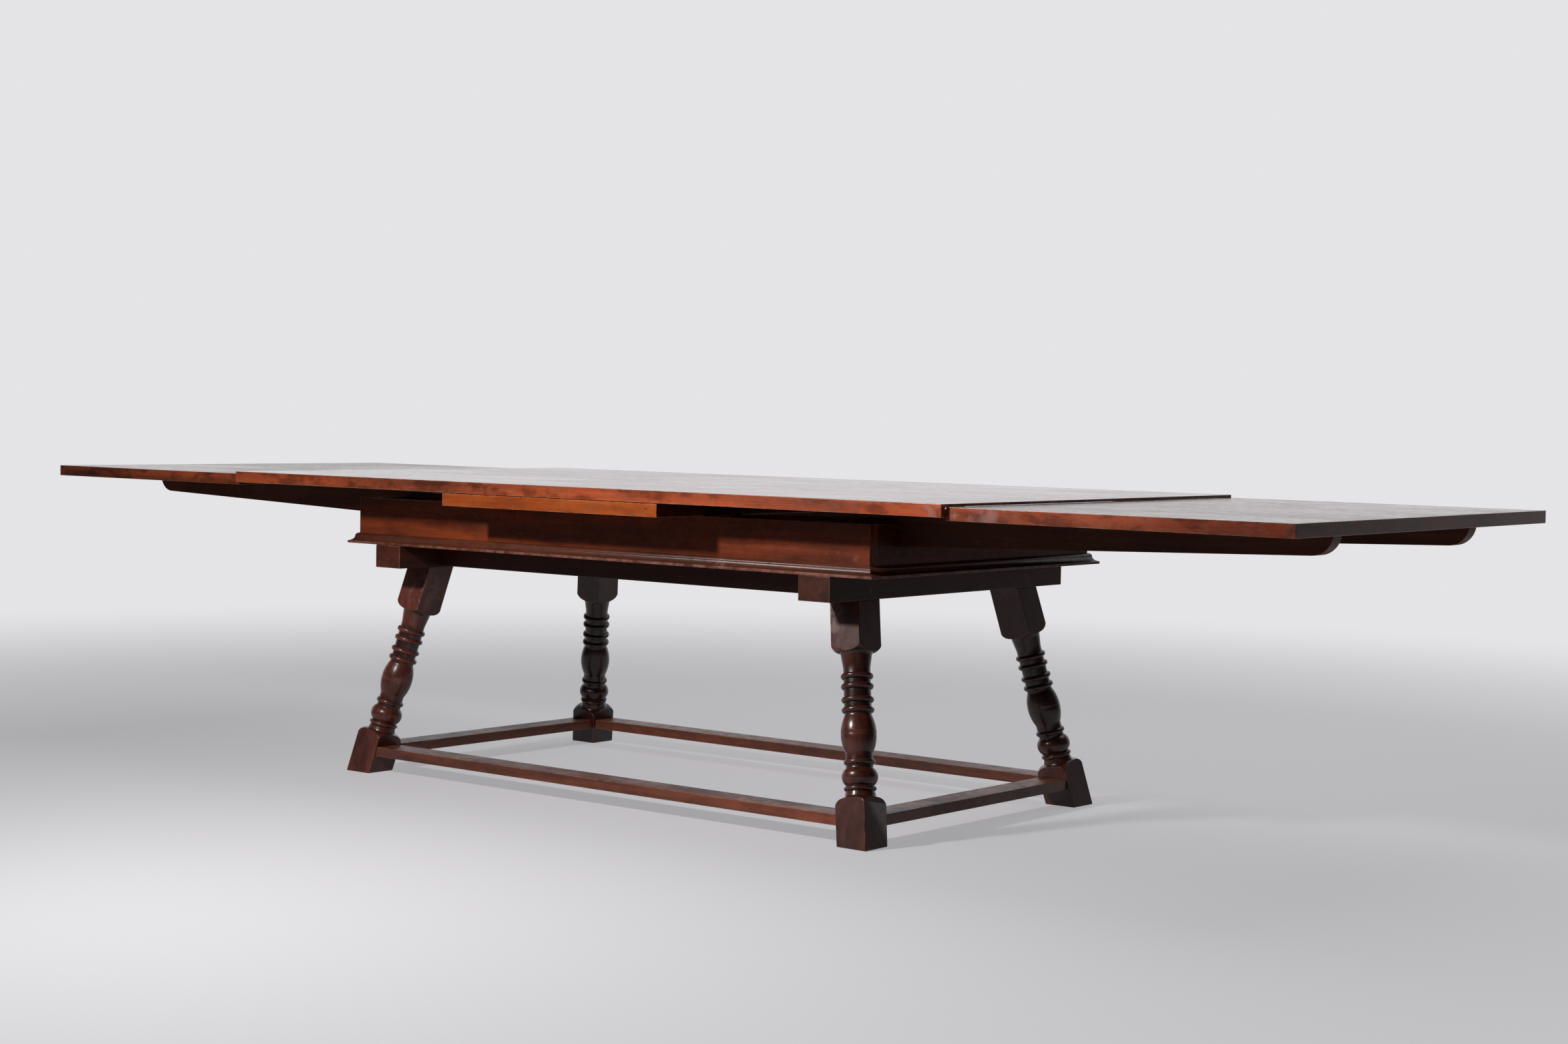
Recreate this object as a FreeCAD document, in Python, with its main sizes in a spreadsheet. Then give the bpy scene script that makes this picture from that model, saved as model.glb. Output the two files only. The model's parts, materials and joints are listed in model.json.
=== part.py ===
import FreeCAD, Part
import math
import os
import Sketcher

# Draw-leaf dining table, both leaves drawn out. Millimetres, Z up, X along the table, Y across it.
# The origin is on the floor under the middle of the table.

doc = FreeCAD.newDocument("draw_leaf_table")
dims = doc.addObject("Spreadsheet::Sheet", "dims")

DRIVING = {
    # legs: the square stock, its lean outwards along and across the table, and the turning
    "leg_height": 535.5,
    "leg_square": 81,
    "spread_along": 112,
    "spread_across": 103.5,
    "foot_block_height": 108,
    "shoulder_radius": 22,
    "turning_overcut": 0.5,
    "collar_height": 15,
    "collar_radius": 32,
    "core_radius": 30.5,
    "ankle_ring_height": 10,
    "ankle_ring_swell": 4.6,
    "cushion_step": 1,
    "cushion_height": 40,
    "cushion_swell": 10,
    "cushion_gap": 7,
    "knee_ring_height": 12,
    "knee_ring_swell": 5,
    "vase_gap": 14,
    "vase_height": 85,
    "vase_swell": 9.6,
    "vase_scribe": 1.2,
    "vase_ring_gap": 5,
    "ring_height": 13,
    "ring_swell": 6.3,
    "ring_gap": 10,
    "ring_pair_gap": 17,
    "neck_height": 47,
    "neck_straight": 12,
    "leg_tenon_square": 40,
    "leg_tenon_height": 38,
    # stretchers between the foot blocks
    "stretcher_width": 72,
    "stretcher_thickness": 25,
    "stretcher_height": 43.5,
    "stretcher_tenon_width": 36,
    "stretcher_tenon_thickness": 14,
    "stretcher_tenon_depth": 18,
    "stretcher_peg_diameter": 8,
    "stretcher_peg_length": 54,
    # bearers across the legs and the long rails between them
    "bearer_width": 89,
    "bearer_height": 57.5,
    "bearer_length": 933,
    "bearer_inset": 134,
    "leg_inset": 149.5,
    "leg_peg_diameter": 12,
    "rail_width": 45,
    "rail_height": 55,
    "rail_offset": 17,
    "rail_tenon_width": 20,
    "rail_tenon_height": 36,
    "rail_tenon_depth": 18,
    # frieze box, its moulding and the rails inside it
    "frieze_length": 1654,
    "frieze_width": 884,
    "frieze_height": 117,
    "frieze_thickness": 28,
    "frieze_dowel_diameter": 12,
    "frieze_dowel_length": 50,
    "frieze_dowel_depth": 16.5,
    "upright_dowel_diameter": 14,
    "upright_dowel_length": 60,
    "board_dowel_inset": 139,
    "board_dowel_cover": 9,
    "corner_block_size": 36,
    "moulding_projection": 22,
    "moulding_height": 26,
    "moulding_band": 6,
    "moulding_quirk": 3.5,
    "moulding_fillet": 1,
    "moulding_cove_radius": 13,
    "moulding_step": 8.5,
    "moulding_lip": 2,
    "moulding_crest": 2.1,
    "moulding_round_radius": 8,
    "inner_rail_thickness": 30,
    "inner_rail_inset": 3,
    "inner_rail_lift": 4,
    # centre board and the loose top that rests on it
    "centre_board_length": 696,
    "centre_board_thickness": 30.5,
    "top_length": 2260,
    "top_width": 1208,
    "top_thickness": 29.5,
    "edge_strip_width": 15,
    "edge_strip_depth": 28,
    "top_peg_diameter": 30,
    "top_peg_socket": 16,
    "top_peg_tail": 4,
    "peg_clearance": 1,
    # leaves, their runners and the clearances that they slide with
    "leaf_length": 793,
    "leaf_thickness": 28.2,
    "leaf_step": 6.4,
    "leaf_side_clearance": 0.8,
    "leaf_end_gap": 0.4,
    "leaf_top_clearance": 0.3,
    "leaf_frieze_clearance": 1,
    "lipping_width": 18,
    "runner_thickness": 36,
    "runner_inset": 98,
    "runner_pitch": 54,
    "runner_setback": 50,
    "runner_notch_depth": 51,
    "runner_nose_run": 46,
    "runner_nose_radius": 48,
    "runner_tail_grip": 148,
    "runner_tail_clearance": 0.5,
    "runner_seat_clearance": 0.3,
    "runner_side_clearance": 1,
    "runner_dowel_diameter": 10,
    "runner_dowel_length": 40,
    "stop_peg_diameter": 16,
    "stop_peg_reach": 10,
    "stop_peg_clearance": 0.3,
}
BOARD_COUNT = 5
RUNNER_DOWEL_COUNT = 4

for row, (name, size) in enumerate(DRIVING.items(), 1):
    dims.set("A%d" % row, name)
    dims.set("B%d" % row, str(size))
    dims.setAlias("B%d" % row, name)
doc.recompute()

# Heights, from the floor up
leg_top = "dims.leg_height"
bearer_top = "(dims.leg_height + dims.bearer_height)"
frieze_top = f"({bearer_top} + dims.frieze_height)"
board_top = f"({frieze_top} + dims.centre_board_thickness)"
table_top = f"({board_top} + dims.top_thickness)"
leaf_top = f"({table_top} - dims.leaf_step)"
leaf_under = f"({leaf_top} - dims.leaf_thickness)"

# Places along and across the table
frieze_end = "(dims.frieze_length / 2)"
frieze_side = "(dims.frieze_width / 2)"
frieze_inner_end = f"({frieze_end} - dims.frieze_thickness)"
frieze_inner_side = f"({frieze_side} - dims.frieze_thickness)"
bearer_at = f"({frieze_end} - dims.bearer_inset)"
leg_top_across = "(dims.bearer_length / 2 - dims.leg_inset)"
foot_along = f"({bearer_at} + dims.spread_along)"
foot_across = f"({leg_top_across} + dims.spread_across)"
board_end = "(dims.centre_board_length / 2)"
inner_rail_at = f"({board_end} - dims.inner_rail_inset - dims.inner_rail_thickness / 2)"
top_end = "(dims.top_length / 2)"
leaf_inner = f"({top_end} + dims.leaf_end_gap)"
leaf_outer = f"({leaf_inner} + dims.leaf_length)"
leaf_width = "(dims.top_width - 2 * (dims.edge_strip_width + dims.leaf_side_clearance))"

# A drawn leaf climbs from under the top to just below its surface, on a straight slope
leaf_travel = f"({leaf_inner} - {board_end} - dims.leaf_end_gap)"
leaf_rise = f"({leaf_under} - {frieze_top} - dims.leaf_frieze_clearance)"
slope = f"({leaf_rise} / {leaf_travel})"
slope_angle = f"atan({slope})"
runner_outer = f"({leaf_outer} - dims.runner_setback)"
tail_tip = f"({board_end} - dims.runner_tail_grip)"
notch_floor = f"({frieze_top} - dims.runner_notch_depth)"
stop_at = (f"({inner_rail_at} - dims.inner_rail_thickness / 2 - dims.stop_peg_clearance"
           f" - dims.stop_peg_diameter / 2)")

SIDES = {"left": -1, "right": 1}
FACES = {"front": -1, "back": 1}
# the runners of the two leaves lie side by side, so that their tails can pass
RUNNER_ROW = {"left": 1, "right": 0}


def runner_seat(x):
    """Height of a runner's sloping underside at a distance x from the middle."""
    return f"({notch_floor} + ({x} - {frieze_end}) * {slope})"


def tail_crest(x):
    """Height of a runner tail's upper edge, which passes just under the centre board."""
    return f"({frieze_top} - dims.runner_tail_clearance + ({x} - {board_end}) * {slope})"


stop_level = f"(({runner_seat(stop_at)} + {tail_crest(stop_at)}) / 2)"


def runner_across(side):
    return f"({frieze_inner_side} - dims.runner_inset - {RUNNER_ROW[side]} * dims.runner_pitch)"


def value(expression):
    return float(dims.evalExpression(expression))


def bind(obj, **expressions):
    for key, expression in expressions.items():
        obj.setExpression(key.replace("__", "."), expression)
    return obj


def place(obj, x, y, z):
    return bind(obj, Placement__Base__x=x, Placement__Base__y=y, Placement__Base__z=z)


def box(name, x, y, z, length, width, height):
    """A block whose middle in X and Y, and whose underside, are at (x, y, z)."""
    obj = doc.addObject("Part::Box", name)
    bind(obj, Length=length, Width=width, Height=height)
    return place(obj, f"{x} - ({length}) / 2", f"{y} - ({width}) / 2", z)


def dowel(name, axis, x, y, z, diameter, length):
    """A round pin that starts at (x, y, z) and runs along the named axis."""
    turns = {"X": (FreeCAD.Vector(0, 1, 0), 90), "Y": (FreeCAD.Vector(1, 0, 0), -90),
             "Z": (FreeCAD.Vector(0, 0, 1), 0)}
    obj = doc.addObject("Part::Cylinder", name)
    bind(obj, Radius=f"{diameter} / 2", Height=length)
    obj.Placement = FreeCAD.Placement(FreeCAD.Vector(), FreeCAD.Rotation(*turns[axis]))
    return place(obj, x, y, z)


def cut(name, base, *tools):
    result = base
    for count, tool in enumerate(tools, 1):
        step = doc.addObject("Part::Cut", name if count == len(tools) else "%s_cut_%d" % (name, count))
        step.Base = result
        step.Tool = tool
        result = step
    return result


def common(name, base, tool):
    obj = doc.addObject("Part::Common", name)
    obj.Base = base
    obj.Tool = tool
    return obj


def fuse(name, *pieces):
    obj = doc.addObject("Part::MultiFuse", name)
    obj.Shapes = list(pieces)
    return obj


def group(name, pieces):
    obj = doc.addObject("Part::Compound", name)
    obj.Links = list(pieces)
    return obj


def arc_between(start, end, radius, side):
    """An arc from start to end whose centre lies to the left (side 1) or right (side -1)."""
    chord = end - start
    middle = (start + end) * 0.5
    left = FreeCAD.Vector(-chord.y, chord.x, 0).normalize()
    reach = math.sqrt(max(radius ** 2 - (chord.Length / 2) ** 2, 0))
    centre = middle + left * (side * reach)
    first, last = (start, end) if side > 0 else (end, start)
    angles = [math.atan2(p.y - centre.y, p.x - centre.x) for p in (first, last)]
    circle = Part.Circle(centre, FreeCAD.Vector(0, 0, 1), radius)
    return Part.ArcOfCircle(circle, angles[0], angles[1])


def outline(body, plane, points):
    """A closed sketch through points (x, y) in order; (x, y, radius, side) starts an arc."""
    sketch = body.newObject("Sketcher::SketchObject", body.Name + "_outline")
    origin = [f for f in body.Origin.OriginFeatures if f.Role == plane][0]
    sketch.AttachmentSupport = [(origin, "")]
    sketch.MapMode = "FlatFace"
    corners = [FreeCAD.Vector(value(p[0]), value(p[1]), 0) for p in points]
    ends = []
    for index, point in enumerate(points):
        start, end = corners[index], corners[(index + 1) % len(points)]
        if len(point) > 2:
            sketch.addGeometry(arc_between(start, end, value(point[2]), point[3]), False)
            ends.append((1, 2) if point[3] > 0 else (2, 1))
        else:
            sketch.addGeometry(Part.LineSegment(start, end), False)
            ends.append((1, 2))
    for index in range(len(points)):
        following = (index + 1) % len(points)
        sketch.addConstraint(Sketcher.Constraint(
            "Coincident", index, ends[index][1], following, ends[following][0]))
    for index, point in enumerate(points):
        for kind, expression, number in (("DistanceX", point[0], corners[index].x),
                                         ("DistanceY", point[1], corners[index].y)):
            constraint = sketch.addConstraint(
                Sketcher.Constraint(kind, -1, 1, index, ends[index][0], number))
            sketch.setExpression("Constraints[%d]" % constraint, expression)
        if len(point) > 2:
            constraint = sketch.addConstraint(Sketcher.Constraint("Radius", index, value(point[2])))
            sketch.setExpression("Constraints[%d]" % constraint, point[2])
    return sketch


def padded(name, plane, points, start, depth):
    """An outline drawn on an origin plane and padded from start over depth along its normal."""
    body = doc.addObject("PartDesign::Body", name)
    pad = body.newObject("PartDesign::Pad", name + "_pad")
    pad.Profile = outline(body, plane, points)
    bind(pad, Length=depth)
    if plane == "YZ_Plane":
        return bind(body, Placement__Base__x=start)
    if plane == "XZ_Plane":
        return bind(body, Placement__Base__y=f"{start} + ({depth})")
    return bind(body, Placement__Base__z=start)


def swell_radius(height, swell):
    """Radius of an arc over a chord of this height that stands out by swell."""
    return f"((({height}) ^ 2 / 4 + ({swell}) ^ 2) / (2 * ({swell})))"


def leg_profile():
    """Half section of the turned leg, from below the floor line to above the bearer line."""
    length = "sqrt(dims.leg_height ^ 2 + dims.spread_along ^ 2 + dims.spread_across ^ 2)"
    corner = "(dims.leg_square / sqrt(2) + dims.turning_overcut)"
    neck = f"({corner} - dims.shoulder_radius)"
    core = "dims.core_radius"
    points = [("0", "-dims.leg_square"), (corner, "-dims.leg_square")]
    points.append((corner, "dims.foot_block_height - dims.shoulder_radius", "dims.shoulder_radius", 1))
    points.append((neck, "dims.foot_block_height"))
    level = "dims.foot_block_height + dims.collar_height"

    def bead(level, radius, height, swell):
        points.append((radius, level, swell_radius(height, swell), 1))
        return f"{level} + {height}"

    level = bead(level, "dims.collar_radius", "dims.ankle_ring_height", "dims.ankle_ring_swell")
    points.append(("dims.collar_radius", level))
    level += " + dims.cushion_step"
    level = bead(level, core, "dims.cushion_height", "dims.cushion_swell")
    points.append((core, level))
    level += " + dims.cushion_gap"
    level = bead(level, core, "dims.knee_ring_height", "dims.knee_ring_swell")
    points.append((core, level))
    level += " + dims.vase_gap"
    vase_arc = swell_radius("dims.vase_height", "dims.vase_swell")
    belly = f"{core} + dims.vase_swell"
    points.append((core, level, vase_arc, 1))
    points.append((belly, f"{level} + dims.vase_height / 2 - dims.vase_scribe"))
    points.append((f"{belly} - dims.vase_scribe", f"{level} + dims.vase_height / 2"))
    points.append((belly, f"{level} + dims.vase_height / 2 + dims.vase_scribe", vase_arc, 1))
    level += " + dims.vase_height"
    points.append((core, level))
    for gap in ("dims.vase_ring_gap", "dims.ring_gap", "dims.ring_pair_gap", "dims.ring_gap"):
        level += f" + {gap}"
        level = bead(level, core, "dims.ring_height", "dims.ring_swell")
        points.append((core, level))
    points.append((core, f"{level} + dims.neck_straight"))
    level += " + dims.neck_height"
    points.append((neck, level, "dims.shoulder_radius", 1))
    points.append((corner, f"{level} + dims.shoulder_radius"))
    points.append((corner, f"{length} + dims.leg_square"))
    points.append(("0", f"{length} + dims.leg_square"))
    return points


def foot_axis(expression, sign, spread, height):
    """Where a leg's axis stands at a height above the floor, along one direction."""
    return f"{sign} * ({expression} - {spread} * ({height}) / dims.leg_height)"


def make_legs():
    """Four leaning turned legs, with the square stock of each kept as a cutter for shoulders."""
    legs, stocks = {}, {}
    length = "sqrt(dims.leg_height ^ 2 + dims.spread_along ^ 2 + dims.spread_across ^ 2)"
    lean = "atan(sqrt(dims.spread_along ^ 2 + dims.spread_across ^ 2) / dims.leg_height)"
    profile = leg_profile()
    for face, across in FACES.items():
        for side, along in SIDES.items():
            name = f"{face}_{side}_leg"
            stance = (f"placement(vector({along} * {foot_along}; {across} * {foot_across}; 0);"
                      f" rotation(vector({across} * dims.spread_across; {-along} * dims.spread_along; 0);"
                      f" {lean}))")
            turning = doc.addObject("PartDesign::Body", name + "_turning")
            spin = turning.newObject("PartDesign::Revolution", name + "_spin")
            spin.Profile = outline(turning, "XZ_Plane", profile)
            spin.ReferenceAxis = (spin.Profile[0], ["V_Axis"])
            spin.Angle = 360
            blank = box(name + "_blank", "0", "0", "-dims.leg_square", "dims.leg_square",
                        "dims.leg_square", f"{length} + 2 * dims.leg_square")
            turned = bind(common(name + "_turned", blank, turning), Placement=stance)
            stock = doc.addObject("Part::Compound", name + "_stock")
            stock.Links = [blank]
            stocks[face, side] = bind(stock, Placement=stance)
            slab = box(name + "_slab", f"{along} * {foot_along}", f"{across} * {foot_across}", "0",
                       "2 * dims.spread_along + 4 * dims.leg_square",
                       "2 * dims.spread_across + 4 * dims.leg_square", leg_top)
            shank = common(name + "_shank", turned, slab)
            tenon = box(name + "_tenon", f"{along} * {bearer_at}", f"{across} * {leg_top_across}",
                        f"{leg_top} - dims.leg_tenon_square / 2", "dims.leg_tenon_square",
                        "dims.leg_tenon_square", "dims.leg_tenon_height + dims.leg_tenon_square / 2")
            legs[face, side] = fuse(name + "_whole", shank, tenon)
    return legs, stocks


def make_stretchers(stocks):
    """Four flat stretchers shouldered against the leaning foot blocks, with their tenons and pegs."""
    middle = "(dims.stretcher_height + dims.stretcher_thickness / 2)"
    tenon_end = "dims.leg_square / 2 - dims.stretcher_tenon_depth"
    at = {"along": foot_axis(foot_along, 1, "dims.spread_along", middle),
          "across": foot_axis(foot_across, 1, "dims.spread_across", middle)}
    bars, tenons, pegs = {}, {}, []
    peg_length = "dims.stretcher_peg_length"

    def bar(name, runs_along, sign, corners):
        length = f"2 * ({at['along' if runs_along else 'across']})"
        offset = f"{sign} * ({at['across' if runs_along else 'along']})"
        sizes = (("dims.stretcher_width", "dims.stretcher_thickness", "dims.stretcher_height", length),
                 ("dims.stretcher_tenon_width", "dims.stretcher_tenon_thickness",
                  f"{middle} - dims.stretcher_tenon_thickness / 2", f"{length} - 2 * ({tenon_end})"))
        made = []
        for suffix, (width, thickness, low, reach) in zip(("_bar", "_tenon"), sizes):
            if runs_along:
                made.append(box(name + suffix, "0", offset, low, reach, width, thickness))
            else:
                made.append(box(name + suffix, offset, "0", low, width, reach, thickness))
        shouldered = cut(name + "_shouldered", made[0], *[stocks[c] for c in corners])
        tenons[name] = made[1]
        bars[name] = fuse(name + "_joined", shouldered, made[1])
        near = f"({length}) / 2 - {tenon_end} - dims.stretcher_tenon_depth / 2"
        for end in (-1, 1):
            peg_name = f"{name}_peg_{'low' if end < 0 else 'high'}"
            if runs_along:
                pegs.append(dowel(peg_name, "Y", f"{end} * ({near})", f"{offset} - {peg_length} / 2",
                                  middle, "dims.stretcher_peg_diameter", peg_length))
            else:
                pegs.append(dowel(peg_name, "X", f"{offset} - {peg_length} / 2", f"{end} * ({near})",
                                  middle, "dims.stretcher_peg_diameter", peg_length))

    for face, across in FACES.items():
        bar(face + "_stretcher", True, across, [(face, side) for side in SIDES])
    for side, along in SIDES.items():
        bar(side + "_stretcher", False, along, [(face, side) for face in FACES])
    return bars, tenons, group("stretcher_pegs", pegs)


def make_leg_pegs():
    """A pin through each bearer and the leg tenon inside it."""
    pegs = []
    for face, across in FACES.items():
        for side, along in SIDES.items():
            pegs.append(dowel(f"{face}_{side}_leg_peg", "X",
                              f"{along} * {bearer_at} - dims.bearer_width / 2",
                              f"{across} * {leg_top_across}", f"{leg_top} + dims.leg_tenon_height / 2",
                              "dims.leg_peg_diameter", "dims.bearer_width"))
    return group("leg_pegs", pegs)


def make_bearers_and_rails(legs, leg_pegs, upright_dowels):
    """Two bearers across the leg tops, and the two long rails tenoned between them."""
    rails, rail_tenons = {}, []
    rail_low = f"{bearer_top} - dims.rail_height"
    span = f"2 * ({bearer_at} - dims.bearer_width / 2)"
    for face, across in FACES.items():
        name = face + "_rail"
        offset = f"{across} * ({leg_top_across} - dims.rail_offset)"
        beam = box(name + "_beam", "0", offset, rail_low, span, "dims.rail_width", "dims.rail_height")
        tenon = box(name + "_tenon", "0", offset,
                    f"{rail_low} + (dims.rail_height - dims.rail_tenon_height) / 2",
                    f"{span} + 2 * dims.rail_tenon_depth", "dims.rail_tenon_width", "dims.rail_tenon_height")
        rails[name] = fuse(name, beam, tenon)
        rail_tenons.append(tenon)
    mortises = fuse("bearer_mortises", *rail_tenons)
    for side, along in SIDES.items():
        name = side + "_bearer"
        block = box(name + "_block", f"{along} * {bearer_at}", "0", leg_top, "dims.bearer_width",
                    "dims.bearer_length", "dims.bearer_height")
        cut(name, block, *[legs[face, side] for face in FACES], mortises, leg_pegs, upright_dowels)


def channel(name, side, across, low, high, width):
    """A sloping slot along a runner's path, between two heights given at the frieze end."""
    along = SIDES[side]
    overrun = "dims.frieze_thickness"
    start = f"-{frieze_end} - {overrun}"
    drop = f"(dims.frieze_length + {overrun})" if along > 0 else f"-{overrun}"
    obj = doc.addObject("Part::Box", name)
    bind(obj, Length=f"(dims.frieze_length + 2 * {overrun}) / cos({slope_angle})", Width=width,
         Height=f"({high} - ({low})) * cos({slope_angle})")
    obj.Placement = FreeCAD.Placement(FreeCAD.Vector(), FreeCAD.Rotation(FreeCAD.Vector(0, 1, 0), 1))
    bind(obj, Placement__Rotation__Angle=f"{-along} * {slope_angle}")
    return place(obj, start, f"{across} - ({width}) / 2", f"{low} - {drop} * {slope}")


def stop_direction(side, across):
    """Stop pegs stand out of the outer runners outwards and of the inner ones inwards."""
    return across if RUNNER_ROW[side] == 0 else -across


def make_channels():
    """Slots for the four runners, and grooves that let a stop peg pass the far inner rail."""
    slots, grooves = {}, {}
    stop_height = f"({stop_level} + ({frieze_end} - {stop_at}) * {slope})"
    half = "dims.stop_peg_diameter / 2 + dims.runner_side_clearance"
    reach = "(dims.stop_peg_reach + 2 * dims.runner_side_clearance)"
    for side in SIDES:
        for face, across in FACES.items():
            centre = f"{across} * {runner_across(side)}"
            slots[side, face] = channel(
                f"{side}_{face}_slot", side, centre, f"{notch_floor} - dims.runner_seat_clearance",
                f"{tail_crest(frieze_end)} + dims.runner_tail_clearance",
                "dims.runner_thickness + 2 * dims.runner_side_clearance")
            beside = f"{centre} + {stop_direction(side, across)} * (dims.runner_thickness / 2 + {reach} / 2)"
            grooves[side, face] = channel(
                f"{side}_{face}_groove", side, beside, f"{stop_height} - ({half})",
                f"{stop_height} + {half}", reach)
    return slots, grooves


def make_frieze(slots, grooves, frieze_dowels, upright_dowels):
    """Four frieze boards, the two inner rails under the centre board, and the corner blocks."""
    for face, across in FACES.items():
        name = face + "_frieze"
        board = box(name + "_board", "0", f"{across} * ({frieze_side} - dims.frieze_thickness / 2)",
                    bearer_top, "dims.frieze_length", "dims.frieze_thickness", "dims.frieze_height")
        cut(name, board, frieze_dowels, upright_dowels)
    for side, along in SIDES.items():
        name = side + "_frieze"
        board = box(name + "_board", f"{along} * ({frieze_end} - dims.frieze_thickness / 2)", "0",
                    bearer_top, "dims.frieze_thickness", f"2 * {frieze_inner_side}", "dims.frieze_height")
        cut(name, board, frieze_dowels, *[slots[side, face] for face in FACES])
        name = side + "_inner_rail"
        board = box(name + "_board", f"{along} * {inner_rail_at}", "0",
                    f"{bearer_top} + dims.inner_rail_lift", "dims.inner_rail_thickness",
                    f"2 * {frieze_inner_side}", "dims.frieze_height - dims.inner_rail_lift")
        far = "right" if side == "left" else "left"
        tools = [slots[key] for key in slots] + [grooves[far, face] for face in FACES]
        cut(name, board, *tools)
    blocks = []
    for face, across in FACES.items():
        for side, along in SIDES.items():
            blocks.append(box(f"{face}_{side}_block",
                              f"{along} * ({frieze_inner_end} - dims.corner_block_size / 2)",
                              f"{across} * ({frieze_inner_side} - dims.corner_block_size / 2)", bearer_top,
                              "dims.corner_block_size", "dims.corner_block_size",
                              "dims.frieze_height - dims.corner_block_size"))
    group("corner_blocks", blocks)


def make_frieze_dowels():
    """Two hidden dowels at each corner of the frieze box."""
    pins = []
    middle = f"({frieze_inner_side} + dims.frieze_dowel_depth - dims.frieze_dowel_length / 2)"
    for face, across in FACES.items():
        for side, along in SIDES.items():
            for level in (1, 2):
                pins.append(dowel(f"{face}_{side}_frieze_dowel_{level}", "Y",
                                  f"{along} * ({frieze_end} - dims.frieze_thickness / 2)",
                                  f"{across} * {middle} - dims.frieze_dowel_length / 2",
                                  f"{bearer_top} + dims.frieze_height * {level} / 3",
                                  "dims.frieze_dowel_diameter", "dims.frieze_dowel_length"))
    return group("frieze_dowels", pins)


def make_upright_dowels():
    """Dowels that hold the frieze to the bearers, and the centre board to the frieze."""
    below, above = [], []
    across_at = f"({frieze_side} - dims.frieze_thickness / 2)"
    for face, across in FACES.items():
        for side, along in SIDES.items():
            below.append(dowel(f"{face}_{side}_bearer_dowel", "Z", f"{along} * {bearer_at}",
                               f"{across} * {across_at}", f"{bearer_top} - dims.upright_dowel_length / 2",
                               "dims.upright_dowel_diameter", "dims.upright_dowel_length"))
            above.append(dowel(f"{face}_{side}_board_dowel", "Z",
                               f"{along} * ({board_end} - dims.board_dowel_inset)",
                               f"{across} * {across_at}",
                               f"{board_top} - dims.board_dowel_cover - dims.upright_dowel_length",
                               "dims.upright_dowel_diameter", "dims.upright_dowel_length"))
    group("bearer_dowels", below)
    group("board_dowels", above)
    return group("all_upright_dowels", below + above)


def make_mouldings():
    """The projecting moulding round the foot of the frieze, mitred at its corners."""
    out = "dims.moulding_projection"
    round_foot = "dims.moulding_height - dims.moulding_round_radius"
    profile = [("0", "0"), (out, "0"), (out, "dims.moulding_band"),
               (f"{out} - dims.moulding_quirk", "dims.moulding_band + dims.moulding_fillet",
                "dims.moulding_cove_radius", -1),
               ("dims.moulding_step", round_foot),
               ("dims.moulding_step", f"{round_foot} + dims.moulding_lip", "dims.moulding_round_radius", 1),
               ("dims.moulding_crest", "dims.moulding_height"), ("0", "dims.moulding_height")]

    def make(name, plane, sign, face_at, half_length, other_face):
        points = []
        for point in profile:
            bend = (point[2], point[3] * sign) if len(point) > 2 else ()
            points.append((f"{sign} * ({face_at} + {point[0]})", f"{bearer_top} + {point[1]}") + bend)
        length = f"2 * ({half_length} + {out})"
        strip = padded(name + "_strip", plane, points, f"-({half_length} + {out})", length)
        plan = [(f"-({half_length} + {out})", f"{sign} * ({face_at} + {out})"),
                (f"{half_length} + {out}", f"{sign} * ({face_at} + {out})"),
                (half_length, f"{sign} * {face_at}"), (f"-{half_length}", f"{sign} * {face_at}")]
        if other_face:
            plan = [(y, x) for x, y in plan]
        mitre = padded(name + "_mitre", "XY_Plane", plan, bearer_top, "dims.moulding_height")
        common(name, strip, mitre)

    for face, across in FACES.items():
        make(face + "_moulding", "YZ_Plane", across, frieze_side, frieze_end, False)
    for side, along in SIDES.items():
        make(side + "_moulding", "XZ_Plane", along, frieze_end, frieze_side, True)


def board_across(index, width):
    """Middle of one board of a panel of equal boards."""
    return f"({width}) * ({index} - {BOARD_COUNT - 1} / 2) / {BOARD_COUNT}"


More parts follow.
